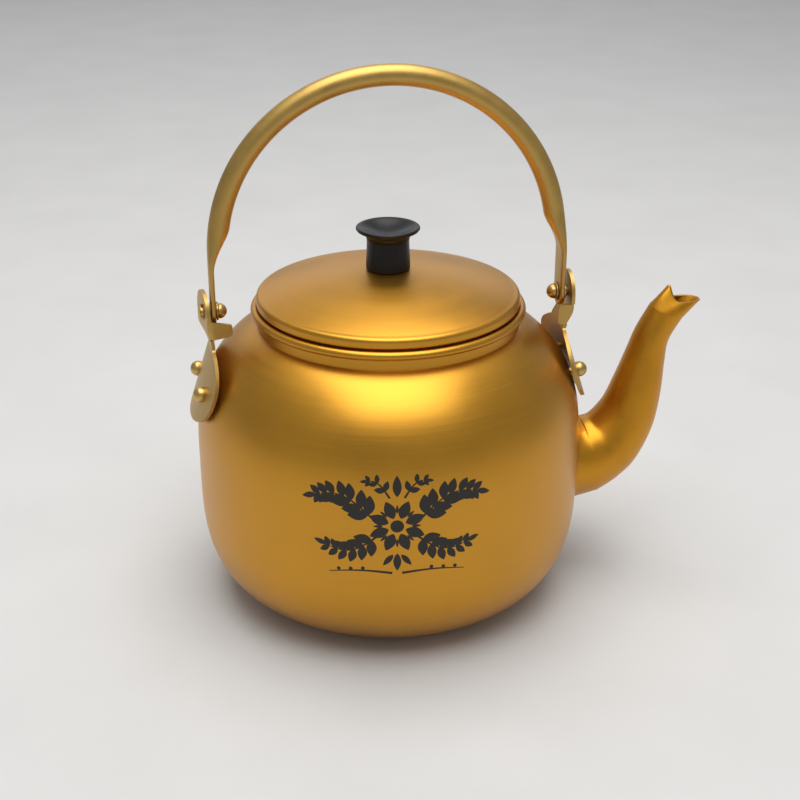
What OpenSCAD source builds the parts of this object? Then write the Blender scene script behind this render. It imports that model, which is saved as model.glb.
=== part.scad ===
// Spun-aluminium kettle: a round body with a beak spout, a lift-off lid with a knob,
// and a tube handle that swings in two riveted ear brackets.
// Frame: +Z up, origin at the centre of the base, +X towards the spout.
// The handle stands upright in the XZ plane.

/* [Body] */
// Largest outer radius of the body
belly_r = 85; // [84:0.5:86]
// Height of the largest radius
belly_z = 67.4; // [66:0.2:69]
// Radius of the flat base
base_r = 50; // [46:1:54]
// Outer radius of the short neck
neck_r = 57; // [56.8:0.1:57.4]
// Height where the shoulder meets the neck
neck_z = 126; // [125:0.5:127]
// Thickness of the spun sheet
wall = 1; // [0.8:0.1:1.2]
// Roundness of the lower body: higher is squarer
lower_power = 4.1; // [3.8:0.1:4.4]
// Roundness of the shoulder: higher is squarer
shoulder_power = 3.15; // [2.9:0.05:3.3]
// Radius of the rolled bead's section
bead_r = 1.9; // [1.6:0.1:2]

/* [Spout] */
// Radius of the spout where it meets the body
root_r = 19; // [18:0.5:20]
// Height of the centre of the root
root_z = 52; // [50:0.5:54]
// Wall thickness of the spout
spout_wall = 1.2; // [1:0.1:1.4]
// How far the root flange stands out past the root
flange_w = 1.2; // [1:0.1:1.6]
// Radius of a strainer hole behind the root
strainer_hole_r = 1.7; // [1.4:0.1:1.8]

/* [Ear brackets] */
// Sheet thickness of the brackets
bracket_t = 1.5; // [1.2:0.1:1.6]
// Half the distance between the ears' inner faces
ear_x = 79.1; // [79:0.1:79.4]
// How far the ears and the handle stand off centre, towards the spout
ear_shift = 0.5; // [0:0.1:0.6]
// Radius of the round ear
ear_r = 9.6; // [9:0.1:10]
// Half width of the oval lug, around the body
lug_half_w = 26.8; // [24:0.2:27]
// How far the ear away from the spout is turned out of square
ear_turn = 10; // [0:1:10]
// Distance of each lug rivet from the middle of its lug
rivet_offset = 14; // [12:0.5:15]

/* [Handle] */
// Height of the pivot axis
pivot_z = 134.5; // [134:0.1:135]
// Radius of the handle tube
tube_r = 4.5; // [4:0.1:4.8]
// Wall thickness of the handle tube
tube_wall = 1.4; // [1:0.1:1.6]
// Radius of the handle's arch, to the middle of the tube
arch_r = 72.7; // [72.5:0.1:73]
// Height of the arch's centre
arch_z = 159.5; // [158:0.5:161]
// Thickness of the flattened ends
flat_t = 2.4; // [2.2:0.1:2.8]
// Half width of the flattened ends
flat_half_w = 6; // [5.5:0.1:6.3]

/* [Lid] */
// Outer radius of the lid's rolled rim
lid_r = 57; // [56.5:0.1:57.5]
// Height of the top of the dome
dome_top_z = 149.8; // [149:0.1:151]
// Height where the dome meets the rim
dome_edge_z = 139.6; // [139.2:0.1:140]
// Thickness of the lid's sheet
lid_t = 0.9; // [0.8:0.1:1]
// Outer radius of the skirt inside the mouth
skirt_r = 54.9; // [54:0.1:55]

/* [Knob] */
// Radius of the knob's flared top
knob_top_r = 13.7; // [13:0.1:14.5]
// Radius of the knob's stem
knob_stem_r = 9.5; // [9:0.5:10]
// Height of the knob
knob_h = 18.4; // [17:0.2:19]

/* [Hidden] */
$fn = 96;

gold = "#c8952f";
pale_gold = "#b9985a";
silver = "#c9c9c6";
brass = "#b8923e";
black = "#1b1a18";

belly_round = 1.6;
shoulder_round = 1.19;
arc_step = 7.5;
bead_z = 132.5;
bead_centre_r = neck_r + 0.65;
fit = 0.05;
lap = 0.01;

// Lug plane: a point on its inner face level with the rivets, and its lean from upright
lug_z = 101.8;
lug_x = 82;
lug_lean = 18;
lug_curve_r = 86;

// The lug's oval, measured up the slope from the rivets
lug_mid = 3.6;
lug_down = 17.9;
lug_up = 19.6;
lug_power = 2.3;

// Rivets, and the seats pressed out of the lug so that it rests on the shoulder around them
rivet_turn = asin(rivet_offset / lug_curve_r);
rivet_r = 2;
rivet_head_r = 3.4;
rivet_head_h = 4.2;
rivet_tail_r = 3.4;
rivet_tail_h = 1;
rivet_tail_depth = 2.9;
seat_r = 4.4;
seat_h = 1.15;

// Where the sheet bends out of the lug plane, up the slope, and where it turns upright
bend_up = 19;
upright_z = 127.5;
waist_half_w = 9.35;

// Stop tabs bent inwards from the ears' front edges:
// [length, lowest and highest z at the ear, lowest and highest z at the tip, corner radii]
tab_back = [10.6, 124.4, 133, 125.1, 130.8, 2.2, 0.8];
tab_spout = [7.2, 122, 131.2, 122, 131.2, 2, 2];

pin_r = 2.2;
pin_head_r = 3.3;
pin_head_h = 3.6;
pin_tail_r = 3.4;
pin_tail_h = 0.6;
pin_tail_gap = 0.65;
washer_r = 4;
washer_t = 0.8;
spacer_r = 3.8;
spacer_t = 0.8;
play = 0.15;
strap_x = arch_r + tube_r - flat_t;
flat_start_z = 153;
limb_angle = 10;

screw_r = 2;
screw_head_r = 4;
screw_head_h = 2.2;
screw_tip_depth = 12.5;
knob_washer_r = 7;
knob_washer_t = 0.8;
insert_r = 3.6;
insert_h = 10;

// --- Sheet outlines ---------------------------------------------------------

function unit(v) = v / norm(v);
function left_of(v) = [-v[1], v[0]];
function path_side(p, i) =
    left_of(unit(p[min(i + 1, len(p) - 1)] - p[max(i - 1, 0)]));

// Closed outline of a sheet of thickness t that lies on the left of a path
function sheet(p, t) = concat(
    p,
    [for (i = [len(p) - 1:-1:0]) p[i] + path_side(p, i) * t]
);
function arc(centre, r, from, to, steps) =
    [for (i = [0:steps]) centre + r * [cos(from + (to - from) * i / steps),
                                       sin(from + (to - from) * i / steps)]];

// --- Body -------------------------------------------------------------------

function lower_path() = [for (t = [0:arc_step:90])
    [base_r + (belly_r - base_r) * pow(sin(t), 2 / belly_round),
     belly_z * (1 - pow(cos(t), 2 / lower_power))]];
function shoulder_path() = [for (t = [arc_step:arc_step:90])
    [neck_r + (belly_r - neck_r) * pow(cos(t), 2 / shoulder_round),
     belly_z + (neck_z - belly_z) * pow(sin(t), 2 / shoulder_power)]];

// Outer radius of the body at a height
function body_r(z) = z < belly_z
    ? base_r + (belly_r - base_r)
      * pow(1 - pow(1 - z / belly_z, lower_power), 1 / belly_round)
    : neck_r + (belly_r - neck_r)
      * pow(1 - pow((z - belly_z) / (neck_z - belly_z), shoulder_power),
            1 / shoulder_round);

module strainer_holes() {
    pitch = 5.6;
    for (row = [-2:2], col = [-2:2]) {
        y = (col + (abs(row) % 2) / 2) * pitch;
        z = row * pitch * sin(60);
        if (norm([y, z]) < root_r - 5)
            translate([belly_r - 8, y, root_z + z])
                rotate([0, 90, 0])
                    cylinder(r = strainer_hole_r, h = 12, $fn = 24);
    }
}

module body() {
    path = concat([[0, 0]], lower_path(), shoulder_path(), [[neck_r, bead_z]]);
    color(gold)
        difference() {
            union() {
                rotate_extrude() polygon(sheet(path, wall));
                translate([0, 0, bead_z])
                    rotate_extrude() translate([bead_centre_r, 0]) circle(r = bead_r, $fn = 32);
            }
            strainer_holes();
            for (side = [0, 1], turn = [-1, 1])
                at_rivet(side, turn) drill(rivet_r + fit);
        }
}

// --- Spout ------------------------------------------------------------------

// Stations along the spout: [x, z, rise angle, radius in the XZ plane, radius along Y]
spout_stations = [
    [93, 53, 12, 17.8, 17.6],
    [99, 56.5, 30, 16.8, 16.2],
    [105, 61.5, 46, 15.4, 14.8],
    [111.6, 73, 62, 13.4, 12.8],
    [115.4, 87, 73, 11.4, 11],
    [118.2, 101, 76, 9.2, 9],
    [120.8, 111.4, 71, 8, 8],
    [126.6, 122, 66, 8.1, 7.2]
];
spout_sides = 24;
rings_per_gap = 3;

// Smooth curve through four neighbouring values
function blend4(a, b, c, d, t) = 0.5 * (2 * b + (c - a) * t
    + (2 * a - 5 * b + 4 * c - d) * t * t + (3 * b - a - 3 * c + d) * t * t * t);
function station(i) = spout_stations[min(max(i, 0), len(spout_stations) - 1)];
function between(i, t) = blend4(station(i - 1), station(i), station(i + 1), station(i + 2), t);

function station_ring(s, inset) = [for (k = [0:spout_sides - 1])
    let (a = 360 * k / spout_sides, u = (s[3] - inset) * cos(a), v = (s[4] - inset) * sin(a))
    [s[0] - u * sin(s[2]), v, s[1] + u * cos(s[2])]];

// The beak's rim: level from the lip back to the notches, then up to a pointed crest
mouth_x = 134.2;
mouth_half_l = 7.8;
mouth_half_w = 5.4;
lip_z = 127.1;
crest_rise = 7;
function mouth_ring(inset) = [for (k = [0:spout_sides - 1])
    let (a = 360 * k / spout_sides)
    [mouth_x - (mouth_half_l - inset) * cos(a), (mouth_half_w - inset) * sin(a),
     lip_z + crest_rise * pow(max(cos(a), 0), 5)]];

// A ring that lies on the body, standing off it by a gap
function root_ring(r, gap) = [for (k = [0:spout_sides - 1])
    let (a = 360 * k / spout_sides, y = r * sin(a), z = root_z + r * cos(a))
    [sqrt(pow(body_r(z), 2) - y * y) + gap, y, z]];

function spout_run(inset) = concat(
    [for (i = [0:len(spout_stations) - 2], j = [0:rings_per_gap - 1])
        station_ring(between(i, j / rings_per_gap), inset)],
    [station_ring(station(len(spout_stations) - 1), inset), mouth_ring(inset)]
);

// Closed skin through a loop of rings: outside rings first, inside rings back again
module ring_skin(rings, sides) {
    count = len(rings);
    points = [for (r = rings) each r];
    faces = [for (i = [0:count - 1], k = [0:sides - 1])
        let (j = (i + 1) % count, m = (k + 1) % sides)
        each [[i * sides + k, i * sides + m, j * sides + m],
              [i * sides + k, j * sides + m, j * sides + k]]];
    polyhedron(points = points, faces = faces, convexity = 6);
}

module spout() {
    sit = 0.05;
    flange_t = 0.8;
    outside = concat(
        [root_ring(root_r + flange_w, sit), root_ring(root_r + flange_w, flange_t),
         root_ring(root_r + 0.3, flange_t + 0.2), root_ring(root_r - 0.5, flange_t + 1.6)],
        spout_run(0)
    );
    inside = concat([root_ring(root_r - 1.7, sit)], spout_run(spout_wall));
    color(gold)
        ring_skin(concat(outside, [for (i = [len(inside) - 1:-1:0]) inside[i]]), spout_sides);
}

// --- Ear brackets -----------------------------------------------------------

// Side 0 is the spout's side, side 1 the side away from it
module on_side(side) {
    mirror([side, 0, 0]) children();
}

// How far a side's ear, strap and pin stand out past their mean distance from the axis
function shift(side) = side == 0 ? ear_shift : -ear_shift;

// A point on the lug's inner face, a distance up the slope, as [x, z]
function slope(up) = [lug_x - up * sin(lug_lean), lug_z + up * cos(lug_lean)];

// Half width of the lug's oval, a distance up the slope
function oval_half_w(up) =
    let (t = (up - lug_mid) / (up > lug_mid ? lug_up : lug_down))
    lug_half_w * pow(max(1 - pow(abs(t), lug_power), 0), 1 / lug_power);

// The axis the bracket's sheet is curved about, so that it follows the shoulder
lug_axis_x = lug_x - lug_curve_r;

// The outline's frame: X out of the shoulder, Y around the body, Z up the slope
module lug_frame() {
    translate([lug_x, 0, lug_z])
        rotate([0, -lug_lean, 0])
            children();
}

// A rivet's frame, Z outwards, with its origin on the lug's inner face
module at_rivet(side, turn) {
    on_side(side)
        translate([lug_axis_x, 0, lug_z])
            rotate([0, 0, turn * rivet_turn])
                translate([lug_curve_r, 0, 0])
                    rotate([0, 90 - lug_lean, 0])
                        children();
}

module drill(r) {
    translate([0, 0, -6]) cylinder(r = r, h = 12, $fn = 32);
}

// Lug and waist in one: curved sheet cut to an oval that narrows into an upright strap
module strap(side) {
    upright_x = ear_x + shift(side);
    path = [[upright_x, pivot_z - 2], [upright_x, upright_z], slope(bend_up),
            slope(lug_mid - lug_down - 2)];
    oval = [for (a = [-90:7.5:67.5]) let (up = lug_mid + (a > 0 ? lug_up : lug_down) * sin(a))
            if (oval_half_w(up) > waist_half_w || a < 0) [up, oval_half_w(up)]];
    right = concat(oval, [[oval[len(oval) - 1][0] + 1.5, waist_half_w], [2 * lug_up, waist_half_w]]);
    outline = concat(right, [for (i = [len(right) - 1:-1:1]) [right[i][0], -right[i][1]]]);
    intersection() {
        translate([lug_axis_x, 0, 0])
            rotate_extrude($fn = 180)
                polygon([for (p = sheet(path, bracket_t)) [p[0] - lug_axis_x, p[1]]]);
        lug_frame()
            translate([-12, 0, 0])
                rotate([0, 90, 0])
                    linear_extrude(26) polygon([for (p = outline) [-p[0], p[1]]]);
    }
}

// The stop tab, bent inwards from the front edge, with its two inner corners rounded
module stop_tab(tab) {
    low_r = tab[5];
    high_r = tab[6];
    low_corner = [tab[0] - low_r, tab[3] + low_r];
    high_corner = [tab[0] - high_r, tab[4] - high_r];
    rotate([90, 0, 180])
        linear_extrude(bracket_t)
            polygon(concat([[0, tab[1]]], arc(low_corner, low_r, -90, 0, 5),
                           arc(high_corner, high_r, 0, 90, 5), [[0, tab[2]]]));
}

module ear(tab) {
    translate([ear_x, 0, pivot_z])
        rotate([0, 90, 0])
            cylinder(r = ear_r, h = bracket_t);
    translate([ear_x + bracket_t, -ear_r, 0]) stop_tab(tab);
}

module bracket(side, tab, turn) {
    color(pale_gold)
        difference() {
            union() {
                on_side(side) {
                    strap(side);
                    translate([ear_x + shift(side), 0, 0])
                        rotate([0, 0, -turn])
                            translate([-ear_x, 0, 0])
                                ear(tab);
                }
                for (turn = [-1, 1])
                    at_rivet(side, turn)
                        translate([0, 0, -seat_h]) cylinder(r = seat_r, h = seat_h + bracket_t / 2);
            }
            pin_frame(side, ear_x - 5) cylinder(r = pin_r + fit, h = 12);
            for (turn = [-1, 1])
                at_rivet(side, turn) drill(rivet_r + fit);
        }
}

module bracket_back() { bracket(1, tab_back, ear_turn); }
module bracket_spout() { bracket(0, tab_spout, 0); }

// --- Rivets and washers -----------------------------------------------------

// A domed head of a given base radius and height, base at z = 0
module dome(r, h) {
    ball_r = (r * r + h * h) / (2 * h);
    intersection() {
        translate([0, 0, h - ball_r]) sphere(r = ball_r, $fn = 48);
        cylinder(r = r + 1, h = h + 1);
    }
}

module lug_rivet(side, turn) {
    tail_z = -rivet_tail_depth;
    color(pale_gold)
        at_rivet(side, turn) {
            translate([0, 0, bracket_t]) dome(rivet_head_r, rivet_head_h);
            translate([0, 0, tail_z - lap]) cylinder(r = rivet_r, h = bracket_t - tail_z + 2 * lap);
            translate([0, 0, tail_z - rivet_tail_h]) cylinder(r = rivet_tail_r, h = rivet_tail_h);
        }
}

module rivet_back_front() { lug_rivet(1, -1); }
module rivet_back_rear() { lug_rivet(1, 1); }
module rivet_spout_front() { lug_rivet(0, -1); }
module rivet_spout_rear() { lug_rivet(0, 1); }

// A place on the pivot axis, Z outwards, its x measured from the middle of the handle
module pin_frame(side, x) {
    on_side(side)
        translate([x + shift(side), 0, pivot_z])
            rotate([0, 90, 0])
                children();
}

module ring(r, hole_r, t) {
    difference() {
        cylinder(r = r, h = t);
        translate([0, 0, -1]) cylinder(r = hole_r, h = t + 2);
    }
}

washer_x = strap_x - play - washer_t;
module pivot_rivet(side) {
    head_x = washer_x - 0.1;
    tail_x = ear_x + bracket_t + pin_tail_gap;
    color(pale_gold) {
        pin_frame(side, head_x) mirror([0, 0, 1]) dome(pin_head_r, pin_head_h);
        pin_frame(side, head_x - lap) cylinder(r = pin_r, h = tail_x - head_x + 2 * lap);
        pin_frame(side, tail_x) cylinder(r = pin_tail_r, h = pin_tail_h);
    }
}

module washer(side) {
    color(pale_gold) pin_frame(side, washer_x) ring(washer_r, pin_r + fit, washer_t);
}

module spacer(side) {
    color(silver)
        pin_frame(side, strap_x + flat_t + play) ring(spacer_r, pin_r + fit, spacer_t);
}

module pivot_rivet_back() { pivot_rivet(1); }
module pivot_rivet_spout() { pivot_rivet(0); }
module washer_back() { washer(1); }
module washer_spout() { washer(0); }
module spacer_back() { spacer(1); }
module spacer_spout() { spacer(0); }

// --- Handle -----------------------------------------------------------------

bail_sides = 24;
arch_step = 5;
cavity_inset_angle = 12;

// One section of the bail at a flatness from 0 (round tube) to 1 (flat strap),
// as [distance inwards from the outer edge, distance to the side]
function bail_section(flat, half_w = flat_half_w) =
    let (half_t = tube_r + (flat_t / 2 - tube_r) * flat,
         half_w = tube_r + (half_w - tube_r) * flat,
         power = 1 - 0.62 * flat)
    [for (k = [0:bail_sides - 1])
        let (c = cos(360 * k / bail_sides), s = sin(360 * k / bail_sides))
        [half_t * (sign(c) * pow(abs(c), power) - 1), half_w * sign(s) * pow(abs(s), power)]];
function ease(t) = t * t * (3 - 2 * t);

function arch_ring(angle, section) = [for (p = section)
    let (r = arch_r + tube_r + p[0])
    [r * cos(angle), p[1], arch_z + r * sin(angle)]];
function upright_ring(z, section) = [for (p = section) [arch_r + tube_r + p[0], p[1], z]];

// Half of the bail, from the rounded end of its strap up to the top of the arch
limb_run = arch_z - flat_start_z + arch_r * limb_angle * PI / 180;
half_bail = concat(
    [for (a = [80:-20:20])
        upright_ring(pivot_z - flat_half_w * sin(a), bail_section(1, flat_half_w * cos(a)))],
    [upright_ring(pivot_z, bail_section(1)), upright_ring(flat_start_z, bail_section(1))],
    [for (i = [1:2])
        let (d = (arch_z - flat_start_z) * i / 3)
        upright_ring(flat_start_z + d, bail_section(ease(1 - d / limb_run)))],
    [for (i = [0:4])
        let (a = limb_angle * i / 4, d = arch_z - flat_start_z + arch_r * a * PI / 180)
        arch_ring(a, bail_section(ease(1 - d / limb_run)))],
    [for (a = [limb_angle + arch_step:arch_step:90]) arch_ring(a, bail_section(0))]
);

module capped_skin(rings, sides) {
    last = len(rings) - 1;
    points = [for (r = rings) each r];
    walls = [for (i = [0:last - 1], k = [0:sides - 1])
        let (m = (k + 1) % sides)
        each [[i * sides + k, (i + 1) * sides + m, i * sides + m],
              [i * sides + k, (i + 1) * sides + k, (i + 1) * sides + m]]];
    start_cap = [for (k = [0:sides - 1]) k];
    end_cap = [for (k = [sides - 1:-1:0]) last * sides + k];
    polyhedron(points = points, faces = concat(walls, [start_cap, end_cap]), convexity = 4);
}

module bail_skin() {
    other_half = [for (i = [len(half_bail) - 2:-1:0])
        [for (p = half_bail[i]) [-p[0], p[1], p[2]]]];
    capped_skin(concat(half_bail, other_half), bail_sides);
}

// The tube's bore, closed at both ends where the tube is pressed flat
module bail_bore() {
    r = tube_r - tube_wall;
    sides = 12;
    capped_skin([for (a = [cavity_inset_angle:6:180 - cavity_inset_angle])
        [for (k = [0:sides - 1])
            let (d = arch_r + r * cos(360 * k / sides))
            [d * cos(a), r * sin(360 * k / sides), arch_z + d * sin(a)]]], sides);
}

module handle() {
    color(pale_gold)
        difference() {
            translate([ear_shift, 0, 0])
                difference() {
                    bail_skin();
                    bail_bore();
                }
            for (side = [0, 1])
                pin_frame(side, strap_x - 2) cylinder(r = pin_r + fit, h = flat_t + 4);
        }
}

// --- Lid --------------------------------------------------------------------

rim_r = 2;
rim_under_z = bead_z + bead_r + 0.3;
dome_edge_r = lid_r - rim_r;
dome_rise = dome_top_z - dome_edge_z;
dome_ball_r = (dome_edge_r * dome_edge_r + dome_rise * dome_rise) / (2 * dome_rise);
skirt_h = 8;

module lid() {
    // the sheet's outer face, from the middle of the dome, round the rim and down the skirt
    dome_end = asin(dome_edge_r / dome_ball_r);
    dome_arc = arc([0, dome_top_z - dome_ball_r], dome_ball_r, 90, 90 - dome_end, 14);
    rim_top = arc([dome_edge_r, dome_edge_z - rim_r], rim_r, 75, 0, 5);
    rim_low = arc([dome_edge_r + 0.8, rim_under_z + 1.2], 1.2, 0, -90, 4);
    turn_in = [[skirt_r, rim_under_z], [skirt_r, rim_under_z - skirt_h]];
    outer = concat(dome_arc, rim_top, rim_low, turn_in);
    inner = concat(
        arc([0, dome_top_z - dome_ball_r], dome_ball_r - lid_t, 90, 90 - dome_end + 1, 14),
        [[dome_edge_r + rim_r - lid_t, dome_edge_z - rim_r],
         [dome_edge_r + rim_r - lid_t, rim_under_z + lid_t],
         [skirt_r - lid_t, rim_under_z + lid_t],
         [skirt_r - lid_t, rim_under_z - skirt_h]]
    );
    color(gold)
        difference() {
            rotate_extrude()
                polygon(concat(outer, [for (i = [len(inner) - 1:-1:0]) inner[i]]));
            translate([0, 0, dome_top_z - 5]) cylinder(r = screw_r + 0.2, h = 10, $fn = 32);
        }
}

// --- Knob and its fastening -------------------------------------------------

knob_z = dome_top_z + 0.05;
insert_z = knob_z;

module knob() {
    stem_h = knob_h * 0.66;
    waist_in = 0.4;
    lip_h = 1.6;
    dish_depth = 3.2;
    flare = [for (i = [0:6])
        let (t = 90 * i / 6)
        [knob_stem_r - waist_in + (knob_top_r - knob_stem_r + waist_in) * (1 - cos(t)),
         stem_h + (knob_h - lip_h - stem_h) * sin(t)]];
    dish = [for (i = [0:5])
        let (t = 1 - i / 5)
        [(knob_top_r - 1.6) * t, knob_h - dish_depth * (1 - t * t)]];
    color(black)
        translate([0, 0, knob_z])
            difference() {
                rotate_extrude()
                    polygon(concat(
                        [[0, 0], [knob_stem_r, 0]], flare,
                        [[knob_top_r, knob_h - 0.8], [knob_top_r - 0.8, knob_h]], dish
                    ));
                translate([0, 0, -1]) cylinder(r = insert_r, h = insert_h + 1, $fn = 48);
                cylinder(r = screw_r + 0.2, h = screw_tip_depth, $fn = 32);
            }
}

module knob_insert() {
    color(brass) translate([0, 0, insert_z]) ring(insert_r, screw_r + fit, insert_h);
}

washer_top_z = dome_top_z - lid_t - 0.2;
module knob_washer() {
    color(silver)
        translate([0, 0, washer_top_z - knob_washer_t])
            ring(knob_washer_r, screw_r + 0.15, knob_washer_t);
}

module knob_screw() {
    head_z = washer_top_z - knob_washer_t;
    color(silver) {
        translate([0, 0, head_z])
            mirror([0, 0, 1])
                difference() {
                    dome(screw_head_r, screw_head_h);
                    translate([-5, -0.5, screw_head_h - 1]) cube([10, 1, 2]);
                }
        translate([0, 0, head_z - lap])
            cylinder(r = screw_r, h = knob_z + screw_tip_depth - 1 - head_z, $fn = 48);
    }
}

body();
spout();
bracket_back();
bracket_spout();
rivet_back_front();
rivet_back_rear();
rivet_spout_front();
rivet_spout_rear();
pivot_rivet_back();
pivot_rivet_spout();
washer_back();
washer_spout();
spacer_back();
spacer_spout();
handle();
lid();
knob();
knob_insert();
knob_screw();
knob_washer();
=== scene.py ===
"""A gold-anodised spun kettle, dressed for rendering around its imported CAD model.

Lengths in the shape code are millimetres, as in the CAD model, and MM turns them into metres
when a mesh is made. The kettle stands on Z = 0, its spout points along +X and the camera
looks from the front left.
"""

import math

import bmesh
import bpy
from mathutils import Matrix, Vector


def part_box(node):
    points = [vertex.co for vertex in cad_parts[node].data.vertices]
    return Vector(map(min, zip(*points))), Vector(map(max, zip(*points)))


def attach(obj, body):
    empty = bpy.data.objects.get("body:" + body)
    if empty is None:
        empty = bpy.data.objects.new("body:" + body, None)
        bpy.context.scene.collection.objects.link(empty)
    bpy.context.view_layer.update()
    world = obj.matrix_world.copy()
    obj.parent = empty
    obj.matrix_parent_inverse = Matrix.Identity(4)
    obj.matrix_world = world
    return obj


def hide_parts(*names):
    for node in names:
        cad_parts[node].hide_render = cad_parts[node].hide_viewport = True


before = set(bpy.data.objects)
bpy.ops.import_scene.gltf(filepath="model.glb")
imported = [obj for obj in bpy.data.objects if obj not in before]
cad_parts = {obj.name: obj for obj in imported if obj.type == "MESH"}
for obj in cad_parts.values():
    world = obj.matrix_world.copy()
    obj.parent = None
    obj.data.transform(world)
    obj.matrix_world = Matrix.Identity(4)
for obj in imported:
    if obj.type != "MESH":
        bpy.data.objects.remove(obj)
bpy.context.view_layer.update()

MM = 0.001


def low(node, axis):
    """Lowest coordinate of a CAD node, in millimetres."""
    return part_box(node)[0][axis] / MM


def high(node, axis):
    """Highest coordinate of a CAD node, in millimetres."""
    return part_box(node)[1][axis] / MM


X, Y, Z = range(3)

# --- Dimensions, read from the frame where it holds them -----------------------------------------

belly_r = high("body", X)
bead_top_z = high("body", Z)
bead_r = 1.9
bead_z = bead_top_z - bead_r
bead_centre_r = 57.65
belly_z = 67.4
base_r = 50.0
neck_r = 57.0
neck_z = 126.0
wall = 1.0
lower_power = 4.1
belly_round = 1.6
shoulder_power = 3.15
shoulder_round = 1.19
ink_room = 0.06

root_r = 19.0
root_z = 52.0
spout_wall = 1.2
flange_w = 1.2
flange_t = 0.8
lip_x = high("spout", X)
crest_z = high("spout", Z)

bracket_t = 1.5
tube_r = 4.5
bail_mid_x = (high("handle", X) + low("handle", X)) / 2
ear_half = 79.1
pivot_z = (low("washer_spout", Z) + high("washer_spout", Z)) / 2
ear_r = high("bracket_spout", Z) - pivot_z
lug_x = 82.0
lug_z = 101.8
lug_lean = math.radians(18)
lug_curve_r = 86.0
lug_half_w = high("bracket_spout", Y) - 0.25
lug_mid = 3.6
lug_down = 17.9
lug_up = 15.8
lug_power = 2.3
waist_half_w = ear_r
bend_up = 19.0
upright_z = 127.5
flatten_z = 120.0
twist_z = 119.0
bend_zone = 8.0
ear_turn = math.radians(10)
# Stop tabs: length, lowest and highest z at the ear and at the tip, lower and upper corner radius
tab_back = (10.6, 124.4, 133, 125.1, 130.8, 2.2, 0.8)
tab_spout = (7.2, 122, 131.2, 122, 131.2, 2, 2)
tab_bend_r = 1.2

rivet_offset = 14.0
rivet_turn = math.asin(rivet_offset / lug_curve_r)
lug_head_r = 3.4
lug_head_h = 4.2
lug_shank_r = 2.0
lug_tail_r = 3.4
lug_tail_h = 1.0
lug_tail_depth = 2.9
pin_head_r = 3.3
pin_head_h = 3.6
pin_shank_r = 2.2
pin_tail_r = 3.4
pin_tail_h = 0.6

arch_r = high("handle", X) - bail_mid_x - tube_r
arch_z = high("handle", Z) - arch_r - tube_r
flat_t = 2.4
flat_half_w = high("handle", Y)
flat_start_z = 153.0
limb_angle = math.radians(10)

lid_r = high("lid", X)
dome_top_z = high("lid", Z)
dome_edge_z = 139.6
rim_r = 2.0
lid_t = 0.9
skirt_r = 54.9
skirt_low_z = low("lid", Z)
rim_under_z = bead_top_z + 0.3

knob_r = high("knob", X)
knob_z = low("knob", Z)
knob_h = high("knob", Z) - knob_z
knob_stem_r = 9.5


# --- Mesh helpers --------------------------------------------------------------------------------

def spread(start, stop, count):
    """count numbers from start to stop, both included."""
    return [start + (stop - start) * i / (count - 1) for i in range(count)]


def arc(centre, radius, start, stop, count):
    """Points on an arc in the (radius, height) plane, angles in degrees."""
    return [(centre[0] + radius * math.cos(math.radians(a)),
             centre[1] + radius * math.sin(math.radians(a)))
            for a in spread(start, stop, count)]


def ease(t):
    """0 to 1 with a soft start and end."""
    t = min(max(t, 0.0), 1.0)
    return t * t * (3 - 2 * t)


def signed_power(value, power):
    return math.copysign(abs(value) ** power, value)


def offset_path(path, distance):
    """The path moved to its left by a distance, point by point."""
    moved = []
    for i, (x, y) in enumerate(path):
        ax, ay = path[max(i - 1, 0)]
        bx, by = path[min(i + 1, len(path) - 1)]
        length = math.hypot(bx - ax, by - ay)
        moved.append((x - distance * (by - ay) / length, y + distance * (bx - ax) / length))
    return moved


def smooth_rows(rows, per_gap):
    """A Catmull-Rom curve through rows of numbers, per_gap steps between neighbours."""
    out = []
    for i in range(len(rows) - 1):
        a, b, c, d = (rows[min(max(i + k, 0), len(rows) - 1)] for k in (-1, 0, 1, 2))
        for j in range(per_gap):
            t = j / per_gap
            out.append([
                0.5 * (2 * q + (r - p) * t + (2 * p - 5 * q + 4 * r - s) * t * t
                       + (3 * q - p - 3 * r + s) * t ** 3)
                for p, q, r, s in zip(a, b, c, d)
            ])
    out.append(list(rows[-1]))
    return out


def turned(profile, sides=192):
    """Vertices and faces of a (radius, height) profile turned about Z."""
    verts, faces, rows = [], [], []
    for r, z in profile:
        if r < 1e-6:
            rows.append([len(verts)])
            verts.append((0.0, 0.0, z))
            continue
        rows.append([len(verts) + k for k in range(sides)])
        verts += [(r * math.cos(2 * math.pi * k / sides), r * math.sin(2 * math.pi * k / sides), z)
                  for k in range(sides)]
    for a, b in zip(rows, rows[1:]):
        for k in range(sides):
            m = k + 1
            corners = [a[k % len(a)], a[m % len(a)], b[m % len(b)], b[k % len(b)]]
            face = list(dict.fromkeys(corners))
            if len(face) > 2:
                faces.append(face)
    return verts, faces


def skinned(rings, loop=False):
    """Vertices and faces of a skin over rings of equal length, closed into a loop or capped."""
    sides = len(rings[0])
    verts = [p for ring in rings for p in ring]
    pairs = list(zip(range(len(rings) - 1), range(1, len(rings))))
    if loop:
        pairs.append((len(rings) - 1, 0))
    faces = [[i * sides + k, i * sides + (k + 1) % sides,
              j * sides + (k + 1) % sides, j * sides + k]
             for i, j in pairs for k in range(sides)]
    if not loop:
        faces.append(list(range(sides - 1, -1, -1)))
        faces.append([(len(rings) - 1) * sides + k for k in range(sides)])
    return verts, faces


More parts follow.
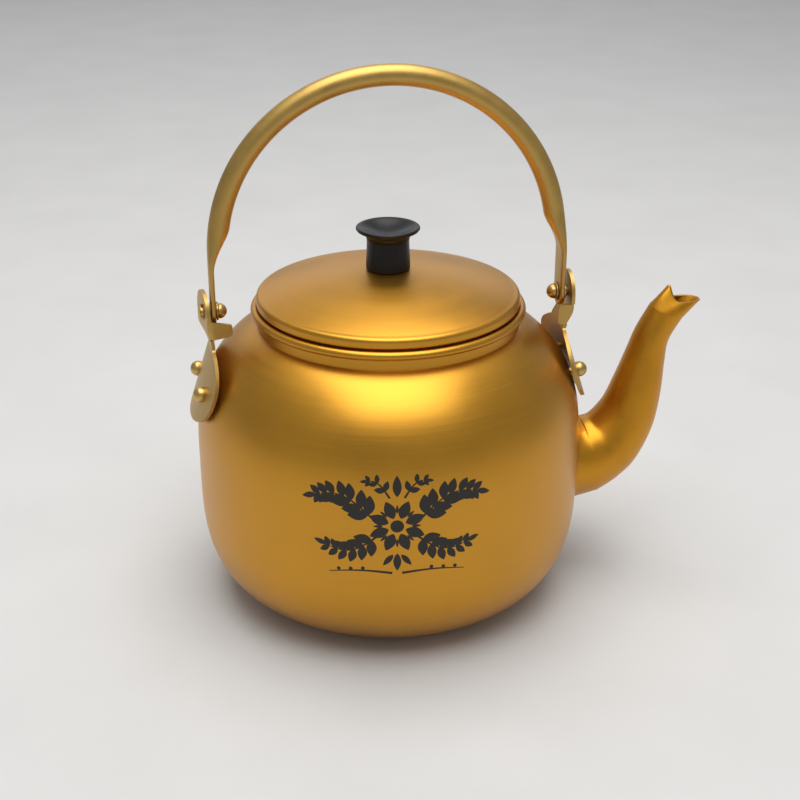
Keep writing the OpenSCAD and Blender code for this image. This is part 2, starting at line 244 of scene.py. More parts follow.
def make_object(name, verts, faces, material, crease=35):
    """A mesh object from millimetre vertices, smooth but for edges sharper than crease degrees."""
    mesh = bpy.data.meshes.new(name)
    mesh.from_pydata([tuple(c * MM for c in v) for v in verts], [], faces)
    bm = bmesh.new()
    bm.from_mesh(mesh)
    bmesh.ops.remove_doubles(bm, verts=bm.verts, dist=1e-7)
    bmesh.ops.recalc_face_normals(bm, faces=bm.faces)
    bm.to_mesh(mesh)
    bm.free()
    mesh.shade_smooth()
    mesh.set_sharp_from_angle(angle=math.radians(crease))
    mesh.materials.append(material)
    obj = bpy.data.objects.new(name, mesh)
    bpy.context.scene.collection.objects.link(obj)
    return obj


def dress(obj, body, nodes):
    """Hides the CAD nodes a piece stands for and hangs the piece on what it rides on."""
    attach(obj, body)
    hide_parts(*nodes)
    return obj


def apply_modifiers(obj):
    graph = bpy.context.evaluated_depsgraph_get()
    mesh = bpy.data.meshes.new_from_object(obj.evaluated_get(graph))
    obj.modifiers.clear()
    obj.data = mesh


# --- Materials -----------------------------------------------------------------------------------

class Paint:
    """A node material built up step by step around one Principled shader."""

    def __init__(self, name, **constants):
        self.material = bpy.data.materials.new(name)
        self.material.use_nodes = True
        self.nodes = self.material.node_tree.nodes
        self.links = self.material.node_tree.links
        self.shader = self.nodes["Principled BSDF"]
        for socket, value in constants.items():
            self.shader.inputs[socket.replace("_", " ")].default_value = value

    def add(self, kind, inputs=None, **settings):
        node = self.nodes.new(kind)
        for key, value in settings.items():
            setattr(node, key, value)
        for key, value in (inputs or {}).items():
            if isinstance(value, bpy.types.NodeSocket):
                self.links.new(value, node.inputs[key])
            else:
                node.inputs[key].default_value = value
        return node

    def place(self):
        return self.add("ShaderNodeTexCoord").outputs["Object"]

    def around(self, spacing, drift):
        """Coordinates that stay almost the same all the way round the Z axis."""
        parts = self.add("ShaderNodeSeparateXYZ", {"Vector": self.place()}).outputs
        flat = self.add("ShaderNodeCombineXYZ", {"X": parts["X"], "Y": parts["Y"]})
        radius = self.add("ShaderNodeVectorMath", {0: flat.outputs[0]}, operation="LENGTH")
        ringed = self.add("ShaderNodeCombineXYZ", {"X": radius.outputs["Value"], "Z": parts["Z"]})
        wide = self.add("ShaderNodeVectorMath",
                        {0: ringed.outputs[0], "Scale": 1 / spacing}, operation="SCALE")
        slow = self.add("ShaderNodeVectorMath",
                        {0: flat.outputs[0], "Scale": 1 / drift}, operation="SCALE")
        return self.add("ShaderNodeVectorMath",
                        {0: wide.outputs[0], 1: slow.outputs[0]}, operation="ADD").outputs[0]

    def noise(self, vector, scale, detail=2.0, roughness=0.5):
        return self.add("ShaderNodeTexNoise", {
            "Vector": vector, "Scale": scale, "Detail": detail, "Roughness": roughness,
        }).outputs["Fac"]

    def spread(self, value, low, high, from_low=0.3, from_high=0.7):
        """A value remapped to lie between low and high."""
        return self.add("ShaderNodeMapRange", {
            "Value": value, "From Min": from_low, "From Max": from_high,
            "To Min": low, "To Max": high,
        }).outputs["Result"]

    def ramp(self, value, stops):
        node = self.add("ShaderNodeValToRGB", {"Fac": value})
        elements = node.color_ramp.elements
        while len(elements) < len(stops):
            elements.new(0.5)
        for element, (position, colour) in zip(elements, stops):
            element.position = position
            element.color = (*colour, 1)
        return node.outputs["Color"]

    def total(self, a, b):
        return self.add("ShaderNodeMath", {0: a, 1: b}, operation="ADD").outputs[0]

    def to(self, socket, value):
        self.links.new(value, self.shader.inputs[socket])

    def bump(self, height, distance, strength=1.0):
        node = self.add("ShaderNodeBump", {
            "Height": height, "Distance": distance, "Strength": strength})
        self.to("Normal", node.outputs["Normal"])


def shaded(colour, factor):
    return tuple(c * factor for c in colour)


def spun_metal(name, colour, roughness):
    """Anodised sheet turned on a lathe: hairlines run round the axis, with soft cloudy patches."""
    paint = Paint(name, Metallic=1.0, Coat_Weight=0.3, Coat_Roughness=0.36)
    clouds = paint.noise(paint.place(), 28, detail=3)
    hairlines = paint.noise(paint.around(0.0009, 0.06), 1, detail=3, roughness=0.7)
    bands = paint.noise(paint.around(0.006, 0.3), 1, detail=1)
    tone = paint.total(paint.spread(clouds, 0, 0.6), paint.spread(hairlines, 0, 0.4))
    paint.to("Base Color", paint.ramp(tone, [
        (0.0, shaded(colour, 0.9)), (0.5, colour), (1.0, shaded(colour, 1.08))]))
    paint.to("Roughness", paint.total(
        paint.spread(clouds, roughness - 0.03, roughness + 0.03),
        paint.spread(hairlines, -0.03, 0.03)))
    paint.bump(paint.total(hairlines, bands), 0.000018)
    return paint.material


def drawn_metal(name, colour, roughness, coat):
    """Anodised tube or stamping: fine grain, faint handling marks."""
    paint = Paint(name, Metallic=1.0, Coat_Weight=coat, Coat_Roughness=0.42)
    place = paint.place()
    grain = paint.noise(place, 2600, detail=2)
    marks = paint.noise(place, 90, detail=4, roughness=0.65)
    paint.to("Base Color", paint.ramp(marks, [
        (0.25, shaded(colour, 0.88)), (0.5, colour), (0.8, shaded(colour, 1.07))]))
    paint.to("Roughness", paint.total(
        paint.spread(marks, roughness - 0.05, roughness + 0.05),
        paint.spread(grain, -0.03, 0.03)))
    paint.bump(paint.total(grain, marks), 0.00002)
    return paint.material


def moulded_black(name):
    """Black phenolic: smooth, with the faint orange peel and dust of a moulding."""
    colour = (0.005, 0.005, 0.006)
    paint = Paint(name, IOR=1.5, Specular_IOR_Level=0.3)
    place = paint.place()
    peel = paint.noise(place, 900, detail=2)
    dust = paint.noise(place, 160, detail=5, roughness=0.7)
    paint.to("Base Color", paint.ramp(dust, [
        (0.4, colour), (0.75, shaded(colour, 2.2))]))
    paint.to("Roughness", paint.spread(dust, 0.3, 0.42))
    paint.bump(peel, 0.00003)
    return paint.material


def printed_ink(name):
    """Thin black screen print, a little patchy where the metal's texture shows through."""
    paint = Paint(name, Metallic=0.0)
    patches = paint.noise(paint.place(), 700, detail=4, roughness=0.7)
    paint.to("Base Color", paint.ramp(patches, [
        (0.3, (0.006, 0.005, 0.004)), (0.72, (0.02, 0.015, 0.008))]))
    paint.to("Roughness", paint.spread(patches, 0.45, 0.65))
    return paint.material


def plain_floor(name):
    paint = Paint(name, Specular_IOR_Level=0.25)
    mottle = paint.noise(paint.place(), 14, detail=4)
    paint.to("Base Color", paint.ramp(mottle, [
        (0.3, (0.60, 0.597, 0.59)), (0.7, (0.63, 0.627, 0.62))]))
    paint.to("Roughness", paint.spread(mottle, 0.75, 0.85))
    return paint.material


gold = spun_metal("gold_spun", (0.60, 0.29, 0.024), 0.40)
gold_drawn = drawn_metal("gold_spout", (0.60, 0.27, 0.012), 0.42, 0.3)
champagne = drawn_metal("champagne_drawn", (0.52, 0.33, 0.085), 0.44, 0.3)
rivet_metal = drawn_metal("champagne_rivet", (0.58, 0.38, 0.12), 0.36, 0.3)
bare_metal = drawn_metal("bare_aluminium", (0.82, 0.82, 0.81), 0.35, 0.0)
brass = drawn_metal("turned_brass", (0.75, 0.56, 0.24), 0.3, 0.0)
steel = drawn_metal("zinc_plate", (0.66, 0.66, 0.65), 0.32, 0.0)
black = moulded_black("black_phenolic")
ink = printed_ink("print_ink")


# --- Body ----------------------------------------------------------------------------------------

def belly_radius(z):
    """Outer radius of the body at a height."""
    if z < belly_z:
        rise = max(1 - (1 - z / belly_z) ** lower_power, 0.0)
        return base_r + (belly_r - base_r) * rise ** (1 / belly_round)
    fall = max(1 - ((z - belly_z) / (neck_z - belly_z)) ** shoulder_power, 0.0)
    return neck_r + (belly_r - neck_r) * fall ** (1 / shoulder_round)


def body_profile():
    skin_r = belly_r - ink_room
    lower = [(base_r + (skin_r - base_r) * math.sin(t) ** (2 / belly_round),
              belly_z * (1 - math.cos(t) ** (2 / lower_power)))
             for t in spread(0, math.pi / 2, 56)]
    shoulder = [(neck_r + (skin_r - neck_r) * max(math.cos(t), 0) ** (2 / shoulder_round),
                 belly_z + (neck_z - belly_z) * math.sin(t) ** (2 / shoulder_power))
                for t in spread(math.pi / 140, math.pi / 2, 69)]
    outside = [(0.0, 0.0), (base_r * 0.5, 0.0)] + lower + shoulder
    inside = offset_path(outside, wall)
    inside[0] = (0.0, wall)
    inside[-1] = (neck_r - wall, neck_z + 0.4)
    bead = arc((bead_centre_r, bead_z), bead_r, 250, 569, 40)
    return outside + [(neck_r, neck_z + 2.5)] + bead + inside[::-1]


def lug_matrix(side, turn):
    """The place of a lug rivet: Z outwards, origin on the lug's inner face."""
    place = (Matrix.Translation((lug_x - lug_curve_r, 0, lug_z))
             @ Matrix.Rotation(turn * rivet_turn, 4, "Z")
             @ Matrix.Translation((lug_curve_r, 0, 0))
             @ Matrix.Rotation(math.radians(90) - lug_lean, 4, "Y"))
    return Matrix.Scale(side, 4, (1, 0, 0)) @ place


def hole_cutter():
    """Strainer holes behind the spout root, as one cutting object."""
    pitch = 5.6
    hole_r = 1.7
    verts, faces = [], []
    for row in range(-2, 3):
        for col in range(-2, 3):
            y = (col + (abs(row) % 2) / 2) * pitch
            z = row * pitch * math.sin(math.radians(60))
            if math.hypot(y, z) >= root_r - 5:
                continue
            rings = [[(x, y + hole_r * math.cos(a), root_z + z + hole_r * math.sin(a))
                      for a in spread(0, 2 * math.pi, 25)[:-1]]
                     for x in (belly_r - 8, belly_r + 4)]
            more, skins = skinned(rings)
            faces += [[i + len(verts) for i in f] for f in skins]
            verts += more
    return make_object("strainer_cutter", verts, faces, gold)


def make_body():
    obj = make_object("kettle_body", *turned(body_profile(), 256), gold)
    cutter = hole_cutter()
    holes = obj.modifiers.new("strainer", "BOOLEAN")
    holes.object = cutter
    holes.operation = "DIFFERENCE"
    holes.solver = "EXACT"
    apply_modifiers(obj)
    bpy.data.objects.remove(cutter)
    dress(obj, "pot", ["body"])


# --- Spout ---------------------------------------------------------------------------------------

# Stations along the spout: x, z, rise in degrees, radius in the XZ plane, radius along Y
spout_stations = [
    (93, 53, 12, 17.8, 17.6),
    (99, 56.5, 30, 16.8, 16.2),
    (105, 61.5, 46, 15.4, 14.8),
    (111.6, 73, 62, 13.4, 12.8),
    (115.4, 87, 73, 11.4, 11),
    (118.2, 101, 76, 9.2, 9),
    (120.8, 111.4, 71, 8, 8),
    (126.6, 122, 66, 8.1, 7.2),
]
spout_sides = 72
mouth_half_l = 7.8
mouth_half_w = 5.4
lip_z = 127.1


def round_angles(sides):
    return [2 * math.pi * k / sides for k in range(sides)]


def station_ring(station, inset):
    x, z, rise, half_l, half_w = station
    up, along = math.cos(math.radians(rise)), math.sin(math.radians(rise))
    return [(x - (half_l - inset) * math.cos(a) * along, (half_w - inset) * math.sin(a),
             z + (half_l - inset) * math.cos(a) * up)
            for a in round_angles(spout_sides)]


def mouth_ring(inset, lift=0.0):
    """The beak's rim: level from the lip back to the notches, then up to a pointed crest."""
    return [(lip_x - mouth_half_l - (mouth_half_l - inset) * math.cos(a),
             (mouth_half_w - inset) * math.sin(a),
             lip_z + lift + (crest_z - lip_z - lift) * max(math.cos(a), 0) ** 5)
            for a in round_angles(spout_sides)]


def root_ring(radius, gap):
    """A ring that lies on the body, standing off it by a gap."""
    ring = []
    for a in round_angles(spout_sides):
        y, z = radius * math.sin(a), root_z + radius * math.cos(a)
        ring.append((math.sqrt(belly_radius(z) ** 2 - y * y) + gap, y, z))
    return ring


def make_spout():
    stations = smooth_rows(spout_stations, 10)
    outside = [root_ring(root_r + flange_w, 0.0), root_ring(root_r + flange_w, flange_t * 0.6),
               root_ring(root_r + flange_w * 0.7, flange_t),
               root_ring(root_r + 0.3, flange_t + 0.1),
               root_ring(root_r - 0.3, flange_t + 1.2)]
    outside += [station_ring(s, 0) for s in stations]
    inside = [root_ring(root_r - 1.7, 0.0)] + [station_ring(s, spout_wall) for s in stations]
    tip = [mouth_ring(0.1, -0.3), mouth_ring(0.25, 0.0), mouth_ring(spout_wall - 0.2, 0.0),
           mouth_ring(spout_wall, -0.3)]
    rings = outside + tip + inside[::-1]
    obj = make_object("kettle_spout", *skinned(rings, loop=True), gold_drawn)
    dress(obj, "pot", ["spout"])


# --- Ear brackets --------------------------------------------------------------------------------

def slope(up):
    """A point on the lug's middle surface, a distance up the slope, as (x, z)."""
    return (lug_x - up * math.sin(lug_lean) + bracket_t / 2 * math.cos(lug_lean),
            lug_z + up * math.cos(lug_lean) + bracket_t / 2 * math.sin(lug_lean))


def line_x(z, ear_x):
    """x on the bracket's side line at a height, with its bends rounded by averaging."""
    foot, bend = slope(-20), slope(bend_up)
    corners = [foot, bend, (ear_x, upright_z), (ear_x, upright_z + 40)]
    reach = 1.6
    steps = 9
    total = 0.0
    for i in range(steps):
        level = z + reach * (2 * i / (steps - 1) - 1)
        for (xa, za), (xb, zb) in zip(corners, corners[1:]):
            if level <= zb:
                total += xa + (xb - xa) * (level - za) / (zb - za)
                break
    return total / steps


def oval_half_w(up):
    """Half width of the lug's oval, a distance up the slope."""
    t = abs(up - lug_mid) / (lug_up if up > lug_mid else lug_down)
    return lug_half_w * max(1 - t ** lug_power, 0.0) ** (1 / lug_power)


def half_width(z, ear_x):
    """Half width of the bracket at a height: oval lug, waist with soft corners, round ear."""
    if z > pivot_z:
        return math.sqrt(max(ear_r ** 2 - (z - pivot_z) ** 2, 0.02))
    foot_x, foot_z = slope(0)
    up = (z - foot_z) * math.cos(lug_lean) + (foot_x - line_x(z, ear_x)) * math.sin(lug_lean)
    oval = oval_half_w(up)
    if up < lug_mid:
        return max(oval, 0.3)
    return (oval ** 8 + waist_half_w ** 8) ** (1 / 8)


def tab_reach(z, tab):
    """How far the stop tab reaches in at a height, with its slanted edges and round corners."""
    length, low_root, high_root, low_tip, high_tip, low_round, high_round = tab
    if z < low_tip:
        return length * ease((z - low_root) / (low_tip - low_root + 1e-6)) - low_round
    if z > high_tip:
        return (length - high_round) * (high_root - z) / (high_root - high_tip + 1e-6)
    for room, round_r in ((z - low_tip, low_round), (high_tip - z, high_round)):
        if room < round_r:
            length -= round_r - math.sqrt(round_r ** 2 - (round_r - room) ** 2)
    return length


def make_bracket(name, side, tab, turn, node):
    """One stamped bracket, its ear twisted by an angle in radians and its stop tab bent in."""
    ear_x = ear_half + side * bail_mid_x + bracket_t / 2
    tab_low, tab_high = tab[1], tab[2]
    cut = tab_bend_r + bracket_t / 2
    step = 0.05
    ups = [lug_mid - lug_down * math.cos(a) for a in spread(0.06, math.pi / 2, 26)]
    heights = [slope(0)[1] + up * math.cos(lug_lean) for up in ups]
    heights += spread(heights[-1], pivot_z, 64)[1:]
    heights += [pivot_z + ear_r * math.sin(a) for a in spread(0.1, math.pi / 2 - 0.05, 16)]
    tab_rows = [tab_low + step] + spread(tab_low + 0.3, tab_high - 0.3, 20) + [tab_high - step]
    heights = [z for z in heights if z < tab_low - 0.2 or z > tab_high + 0.2]
    heights = sorted(heights + [tab_low - step] + tab_rows + [tab_high + step])
    columns = 32
    tab_columns = 16

    def bent(z, x, y):
        """A point of the flat outline, curved round the body and twisted with the ear."""
        tilt = (line_x(z + 0.2, ear_x) - line_x(z - 0.2, ear_x)) / 0.4
        normal = (1 / math.hypot(1, tilt), -tilt / math.hypot(1, tilt))
        curve = (lug_curve_r - math.sqrt(lug_curve_r ** 2 - y * y)) * math.cos(lug_lean)
        sag = (1 - ease((z - flatten_z) / bend_zone)) * curve
        x -= sag * normal[0]
        z -= sag * normal[1]
        twist = turn * ease((z - twist_z) / bend_zone)
        off = x - ear_x
        return (side * (ear_x + off * math.cos(twist) + y * math.sin(twist)),
                y * math.cos(twist) - off * math.sin(twist), z)

    verts, faces, rows = [], [], []
    for z in heights:
        half = half_width(z, ear_x)
        tabbed = tab_low < z < tab_high
        front = min(half, ear_r) - cut if tabbed else half
        row = [len(verts) + i for i in range(columns + 1)]
        for s in spread(1, -1, columns + 1):
            verts.append(bent(z, line_x(z, ear_x), s * (half if s > 0 else front)))
        if tabbed:
            reach = tab_reach(z, tab) - (ear_x - line_x(z, ear_x))
            straight = max(reach - bracket_t / 2 - tab_bend_r, 0.05)
            quarter = tab_bend_r * math.pi / 2
            for i in range(1, tab_columns + 1):
                u = (quarter + straight) * i / tab_columns
                a = min(u / tab_bend_r, math.pi / 2)
                inwards = tab_bend_r * (1 - math.cos(a)) + max(u - quarter, 0)
                row.append(len(verts))
                y = -front - tab_bend_r * math.sin(a)
                verts.append(bent(z, line_x(z, ear_x) - inwards, y))
        rows.append(row)
    for a, b in zip(rows, rows[1:]):
        for k in range(min(len(a), len(b)) - 1):
            faces.append([a[k], a[k + 1], b[k + 1], b[k]])
    obj = make_object(name, verts, faces, champagne, crease=60)
    plate = obj.modifiers.new("sheet", "SOLIDIFY")
    plate.thickness = bracket_t * MM
    plate.offset = 0
    plate.use_even_offset = True
    edge = obj.modifiers.new("edge", "BEVEL")
    edge.width = 0.3 * MM
    edge.segments = 3
    edge.limit_method = "ANGLE"
    edge.angle_limit = math.radians(50)
    edge.harden_normals = True
    apply_modifiers(obj)
    dress(obj, "pot", [node])


# --- Rivets, washers and spacers -----------------------------------------------------------------

def dome_profile(radius, height, steps=14):
    """A rivet's head from its rim up to its crown, base at 0: straight flank, round crown."""
    flank = max(height - radius, 0.3)
    return [(radius * math.sin(a), flank + (height - flank) * math.cos(a))
            for a in spread(math.pi / 2, 0, steps)]


def rivet_profile(head_r, head_h, shank_r, grip, tail_r, tail_h):
    """Crown at the top, upset tail below the grip, both centred on the axis."""
    soft = 0.35
    tail = [(0.0, -grip - tail_h), (tail_r - soft, -grip - tail_h),
            (tail_r, -grip - tail_h + soft), (tail_r, -grip - soft * 0.3),
            (tail_r - soft, -grip), (shank_r, -grip)]
    head = dome_profile(head_r, head_h)
    return tail + [(shank_r, 0.0), (head_r - 0.1, 0.0)] + head[:-1] + [(0.0, head_h)]


def placed(verts, matrix):
    return [tuple(matrix @ Vector(v)) for v in verts]


def make_lug_rivet(name, side, turn, node):
    profile = rivet_profile(lug_head_r, lug_head_h, lug_shank_r,
                            bracket_t + lug_tail_depth, lug_tail_r, lug_tail_h)
    verts, faces = turned(profile, 48)
    lift = Matrix.Translation((0, 0, bracket_t))
    obj = make_object(name, placed(verts, lug_matrix(side, turn) @ lift), faces, rivet_metal)
    dress(obj, "pot", [node])


def pin_matrix(side, x):
    """A place on the pivot axis: Z points inwards, to the kettle's axis."""
    turn = Matrix.Rotation(-side * math.pi / 2, 4, "Y")
    return Matrix.Translation((side * x, 0, pivot_z)) @ turn


def make_pivot_rivet(name, side, node):
    inner = min(abs(low(node, X)), abs(high(node, X)))
    outer = max(abs(low(node, X)), abs(high(node, X)))
    grip = outer - inner - pin_head_h - pin_tail_h
    profile = rivet_profile(pin_head_r, pin_head_h, pin_shank_r, grip, pin_tail_r, pin_tail_h)
    verts, faces = turned(profile, 48)
    place = pin_matrix(side, inner + pin_head_h)
    obj = make_object(name, placed(verts, place), faces, rivet_metal)
    dress(obj, "pot", [node])


def make_ring(name, side, node, material):
    """A washer or spacer on the pivot, with its edges eased."""
    soft = 0.2
    hole_r = 2.25
    outer_r = (high(node, Y) - low(node, Y)) / 2
    inner = min(abs(low(node, X)), abs(high(node, X)))
    thick = high(node, X) - low(node, X)
    profile = [(hole_r, 0), (outer_r - soft, 0), (outer_r, soft), (outer_r, thick - soft),
               (outer_r - soft, thick), (hole_r, thick), (hole_r, 0)]
    verts, faces = turned(profile, 48)
    obj = make_object(name, placed(verts, pin_matrix(side, inner + thick)), faces, material)
    dress(obj, "pot", [node])


# --- Handle --------------------------------------------------------------------------------------

bail_sides = 48


def bail_section(flat, half_w=flat_half_w):
    """(distance in from the outer edge, distance to the side) round one section of the bail."""
    half_t = tube_r + (flat_t / 2 - tube_r) * flat
    half_side = tube_r + (half_w - tube_r) * flat
    power = 1 - 0.62 * flat
    return [(half_t * (signed_power(math.cos(a), power) - 1),
             half_side * signed_power(math.sin(a), power))
            for a in round_angles(bail_sides)]


def arch_ring(angle, section):
    outer = arch_r + tube_r
    return [((outer + p) * math.cos(angle), q, arch_z + (outer + p) * math.sin(angle))
            for p, q in section]


def upright_ring(z, section):
    return [(arch_r + tube_r + p, q, z) for p, q in section]


def make_handle():
    drop = arch_z - flat_start_z
    run = drop + arch_r * limb_angle
    rings = [upright_ring(pivot_z - flat_half_w * math.sin(a),
                          bail_section(1, flat_half_w * math.cos(a)))
             for a in spread(math.radians(84), math.radians(8), 12)]
    rings += [upright_ring(z, bail_section(1)) for z in spread(pivot_z, flat_start_z, 6)]
    rings += [upright_ring(flat_start_z + drop * i / 8, bail_section(ease(1 - drop * i / 8 / run)))
              for i in range(1, 8)]
    rings += [arch_ring(a, bail_section(ease(1 - (drop + arch_r * a) / run)))
              for a in spread(0, limb_angle, 12)]
    rings += [arch_ring(a, bail_section(0)) for a in spread(limb_angle, math.pi / 2, 56)[1:]]
    mirrored = [[(-x, y, z) for x, y, z in ring] for ring in rings[-2::-1]]
    verts, faces = skinned(rings + mirrored)
    aside = Matrix.Translation((bail_mid_x, 0, 0))
    obj = make_object("bail_handle", placed(verts, aside), faces, champagne, crease=50)
    dress(obj, "bail", ["handle"])


# --- Lid and knob --------------------------------------------------------------------------------

def make_lid():
    edge_r = lid_r - rim_r
    rise = dome_top_z - dome_edge_z
    ball_r = (edge_r ** 2 + rise ** 2) / (2 * rise)
    centre = (0.0, dome_top_z - ball_r)
    stop = 90 - math.degrees(math.asin(edge_r / ball_r))
    hole_r = 2.2
    start = 90 - math.degrees(math.asin(hole_r / ball_r))
    outer = arc(centre, ball_r, start, stop, 48)
    outer += arc((edge_r, dome_edge_z - rim_r), rim_r, stop - 2, 0, 14)
    outer += arc((edge_r + 0.8, rim_under_z + 1.2), 1.2, 0, -90, 10)
    outer += [(skirt_r + 0.3, rim_under_z), (skirt_r, rim_under_z - 0.3),
              (skirt_r, skirt_low_z + 0.2), (skirt_r - lid_t / 2, skirt_low_z)]
    inner = arc(centre, ball_r - lid_t, start, stop + 1, 40)
    inner += arc((edge_r, dome_edge_z - rim_r), rim_r - lid_t, stop, 0, 8)
    inner += [(edge_r + rim_r - lid_t, rim_under_z + lid_t + 0.3),
              (edge_r + rim_r - lid_t - 0.3, rim_under_z + lid_t),
              (skirt_r - lid_t, rim_under_z + lid_t - 0.3), (skirt_r - lid_t, skirt_low_z + 0.2)]
    obj = make_object("lid_dome", *turned(outer + inner[::-1] + outer[:1], 256), gold)
    dress(obj, "cover", ["lid"])


def make_knob():
    """Stem with a flared lip and a dished top, hollow underneath for the insert."""
    stem_h = knob_h * 0.66
    waist_r = knob_stem_r - 0.4
    lip_h = 1.6
    lip_soft = 0.8
    dish_r = knob_r - 1.6
    dish_depth = 3.2
    insert_r, insert_h = 3.6, 10.0
    screw_r, screw_h = 2.2, 12.5
    profile = [(0.0, screw_h), (screw_r, screw_h), (screw_r, insert_h), (insert_r, insert_h),
               (insert_r, 0.0)]
    profile += arc((knob_stem_r - 0.4, 0.4), 0.4, -90, 0, 5)
    profile += [(knob_stem_r - 0.4 * ease(t), 0.4 + (stem_h - 0.4) * t)
                for t in spread(0.1, 1, 10)]
    profile += [(waist_r + (knob_r - waist_r) * (1 - math.cos(t)),
                 stem_h + (knob_h - lip_h - stem_h) * math.sin(t))
                for t in spread(0.1, math.pi / 2 - 0.12, 14)]
    profile += arc((knob_r - lip_soft, knob_h - lip_soft), lip_soft, -12, 90, 12)
    profile += [(dish_r * t, knob_h - dish_depth * (1 - t * t) ** 1.2) for t in spread(1, 0, 24)]
    verts, faces = turned(profile, 128)
    obj = make_object("knob_moulding", placed(verts, Matrix.Translation((0, 0, knob_z))),
                      faces, black)
    dress(obj, "cover", ["knob"])


def dress_hidden_hardware():
    """The fasteners under the lid keep their CAD shapes and get their finishes."""
    for node, material in (("knob_insert", brass), ("knob_screw", steel),
                           ("knob_washer", bare_metal)):
        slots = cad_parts[node].data.materials
        slots.clear()
        slots.append(material)


# --- Print ---------------------------------------------------------------------------------------
# A plain leafy spray of the builder's own design: a round blossom among three pairs of sprigs.
# Shapes are outlines on a flat sheet, x round the body and y up it, from the ornament's foot.

def leaf(x, y, angle, length, width):
    """A pointed leaf that starts at a point and runs along an angle."""
    ca, sa = math.cos(angle), math.sin(angle)
    outline = []
    for sign, run in ((1, spread(0, 1, 13)), (-1, spread(1, 0, 13)[1:-1])):
        for t in run:
            along = length * t
            across = sign * width / 2 * math.sin(math.pi * t) ** 0.8 * (1.15 - 0.3 * t)
            outline.append((x + along * ca - across * sa, y + along * sa + across * ca))
    return outline


def spot(x, y, radius, sides):
    """A round dot."""
    return [(x + radius * math.cos(a), y + radius * math.sin(a)) for a in round_angles(sides)]


def ribbon(points, thick):
    """A stroke along points, tapered to its far end."""
    left = offset_path(points, 0.5)
    sides = []
    for sign in (1, -1):
        sides.append([
            (x + sign * (lx - x) * thick * (1 - 0.75 * i / len(points)),
             y + sign * (ly - y) * thick * (1 - 0.75 * i / len(points)))
            for i, ((x, y), (lx, ly)) in enumerate(zip(points, left))])
    return sides[0] + sides[1][::-1]


def sprig(side, start, reach, rise, curl, leaves, size):
    """A stem that runs out to one side, with leaves above and below it."""
    steps = 24
    leaf_turn = 0.85
    stem = [(side * (start[0] + reach * t), start[1] + rise * t + curl * math.sin(math.pi * t))
            for t in spread(0, 1, steps + 1)]
    shapes = [ribbon(stem, 0.9)]
    for i in range(leaves):
        t = (i + 0.7) / leaves
        k = int(t * steps)
        x, y = stem[k]
        px, py = stem[k - 1]
        heading = math.atan2(y - py, x - px)
        length = size * (1 - 0.45 * t)
        for turn in (leaf_turn, -leaf_turn):
            shapes.append(leaf(x, y, heading + turn, length, length * 0.55))
    x, y = stem[-1]
    shapes.append(leaf(x - side * 0.5, y, math.atan2(y - stem[-3][1], x - stem[-3][0]),
                       size * 0.7, size * 0.28))
    return shapes


def blossom(x, y, size):
    """Eight petals with thin rays between them, round a solid middle."""
    shapes = []
    for i in range(8):
        a = math.pi * (i + 0.5) / 4
        shapes.append(leaf(x + 0.32 * size * math.cos(a), y + 0.32 * size * math.sin(a), a,
                           0.72 * size, 0.4 * size))
        b = math.pi * i / 4
        shapes.append(leaf(x + 0.5 * size * math.cos(b), y + 0.5 * size * math.sin(b), b,
                           0.34 * size, 0.1 * size))
    shapes.append(spot(x, y, 0.24 * size, 28))
    return shapes


def spray():
    """The whole ornament, about 75 mm wide and 46 mm high, over a row of dots and two rules."""
    shapes = blossom(0, 22, 11.5)
    for side in (-1, 1):
        shapes += sprig(side, (9.5, 25), 24, 9, 5, 7, 9)
        shapes += sprig(side, (8.5, 17), 21, -5, -4, 6, 8)
        shapes += sprig(side, (3, 34.5), 9, 7, 2.5, 3, 5)
        for i in range(3):
            shapes.append(spot(side * (14 + 5 * i), 2.4 - 0.5 * i, 0.8, 16))
    shapes += [leaf(0, 35, math.pi / 2, 9, 3.6), leaf(0, 9.5, -math.pi / 2, 8, 3.2)]
    for side in (-1, 1):
        shapes.append(leaf(side * 1.6, 9, -math.pi / 2 + side * 0.7, 6.5, 2.4))
        shapes.append(ribbon([(side * (2 + 26 * t), 0.4 + 1.3 * math.sin(math.pi * t) - 0.8 * t)
                              for t in spread(0, 1, 25)], 1.1))
    return shapes


def make_print():
    """The outlines cut fine enough to follow the body, laid on it as a thin skin of ink."""
    turn = math.radians(-96.9)
    foot_z = 48.5
    cell = 2.0
    ink_t = 0.05
    sunk = 0.03
    bm = bmesh.new()
    for outline in spray():
        corners = [bm.verts.new((x, y, 0)) for x, y in outline]
        bm.faces.new(corners)
    bmesh.ops.triangulate(bm, faces=bm.faces)
    for axis, span in ((0, 40), (1, 48)):
        direction = [0, 0, 0]
        direction[axis] = 1
        for i in range(int(-span / cell), int(span / cell) + 1):
            point = [0, 0, 0]
            point[axis] = i * cell
            everything = bm.verts[:] + bm.edges[:] + bm.faces[:]
            bmesh.ops.bisect_plane(bm, geom=everything, plane_co=point, plane_no=direction)
    shell = bmesh.ops.extrude_face_region(bm, geom=bm.faces[:])
    raised = {v for v in shell["geom"] if isinstance(v, bmesh.types.BMVert)}
    for v in bm.verts:
        z = foot_z + v.co.y
        lift = ink_t if v in raised else -sunk
        r = belly_radius(z) - ink_room + lift
        a = turn + v.co.x / belly_r
        v.co = (r * math.cos(a) * MM, r * math.sin(a) * MM, z * MM)
    bmesh.ops.recalc_face_normals(bm, faces=bm.faces)
    mesh = bpy.data.meshes.new("body_print")
    bm.to_mesh(mesh)
    bm.free()
    mesh.materials.append(ink)
    obj = bpy.data.objects.new("body_print", mesh)
    bpy.context.scene.collection.objects.link(obj)
    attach(obj, "pot")


# --- Stage, lights and camera --------------------------------------------------------------------

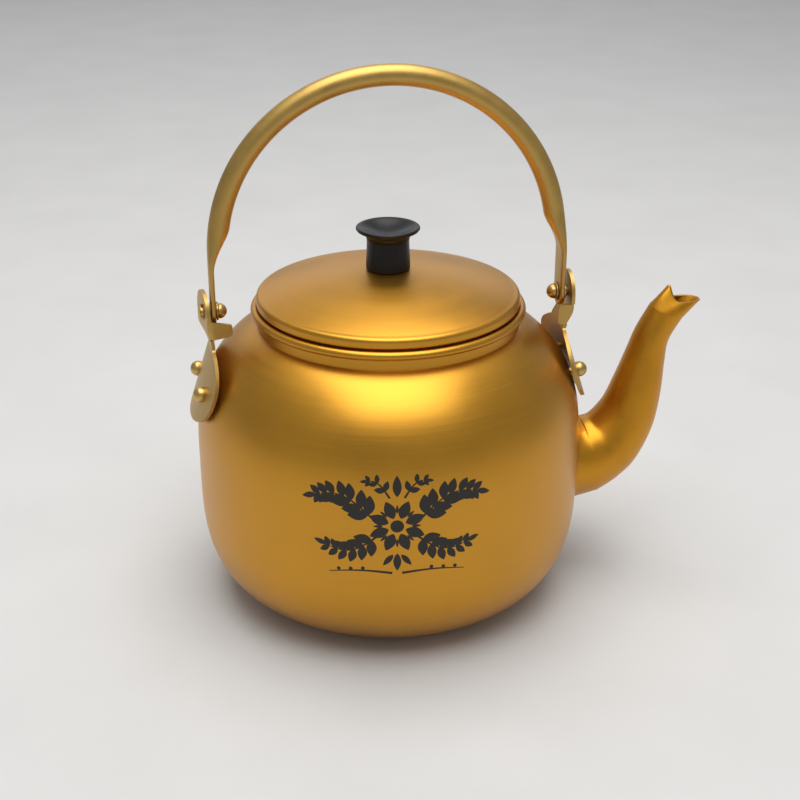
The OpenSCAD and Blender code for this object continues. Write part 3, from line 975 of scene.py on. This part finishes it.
def make_floor():
    size = 6.0
    mesh = bpy.data.meshes.new("floor")
    corners = [(-size, -size, 0), (size, -size, 0), (size, size, 0), (-size, size, 0)]
    mesh.from_pydata(corners, [], [[0, 1, 2, 3]])
    mesh.materials.append(plain_floor("floor_paint"))
    obj = bpy.data.objects.new("floor", mesh)
    bpy.context.scene.collection.objects.link(obj)


def softbox(name, place, target, width, height, power, colour=(1, 1, 1)):
    light = bpy.data.lights.new(name, "AREA")
    light.shape = "RECTANGLE"
    light.size = width
    light.size_y = height
    light.energy = power
    light.color = colour
    obj = bpy.data.objects.new(name, light)
    bpy.context.scene.collection.objects.link(obj)
    obj.location = place
    obj.rotation_euler = (Vector(target) - Vector(place)).to_track_quat("-Z", "Y").to_euler()
    return obj


def make_lights():
    middle = (0, 0, 0.1)
    softbox("overhead", (0.0, -0.08, 1.3), middle, 1.1, 1.6, 21, (1.0, 0.985, 0.96))
    softbox("back", (0.0, 1.8, 0.8), middle, 2.2, 0.6, 3)
    world = bpy.data.worlds.new("studio")
    bpy.context.scene.world = world
    world.use_nodes = True
    sky = world.node_tree.nodes["Background"]
    sky.inputs["Color"].default_value = (0.93, 0.95, 1.0, 1)
    sky.inputs["Strength"].default_value = 0.36


def make_camera():
    """The photograph's view: from the front, a little left of the spout's broadside and above."""
    azimuth = math.radians(8.5)
    away, up, across = 0.5943, 0.3583, -0.0063
    pitch = math.radians(24.52)
    yaw = math.radians(1.098)
    lens_data = bpy.data.cameras.new("camera")
    lens_data.sensor_width = 36
    lens_data.lens = 65.8
    lens_data.clip_start = 0.01
    obj = bpy.data.objects.new("camera", lens_data)
    bpy.context.scene.collection.objects.link(obj)
    turn = Matrix.Rotation(-azimuth, 4, "Z")
    obj.matrix_world = (turn @ Matrix.Translation((across, -away, up))
                        @ Matrix.Rotation(-yaw, 4, "Z")
                        @ Matrix.Rotation(math.pi / 2 - pitch, 4, "X"))
    bpy.context.scene.camera = obj


make_body()
make_spout()
make_bracket("ear_bracket_back", -1, tab_back, ear_turn, "bracket_back")
make_bracket("ear_bracket_spout", 1, tab_spout, 0, "bracket_spout")
for side_name, side in (("back", -1), ("spout", 1)):
    for end_name, turn in (("front", -1), ("rear", 1)):
        make_lug_rivet(f"lug_rivet_{side_name}_{end_name}", side, turn,
                       f"rivet_{side_name}_{end_name}")
    make_pivot_rivet(f"pivot_pin_{side_name}", side, f"pivot_rivet_{side_name}")
    make_ring(f"pivot_washer_{side_name}", side, f"washer_{side_name}", rivet_metal)
    make_ring(f"pivot_spacer_{side_name}", side, f"spacer_{side_name}", bare_metal)
make_handle()
make_lid()
make_knob()
dress_hidden_hardware()
make_print()
make_floor()
make_lights()
make_camera()
bpy.context.scene.view_settings.view_transform = "Standard"
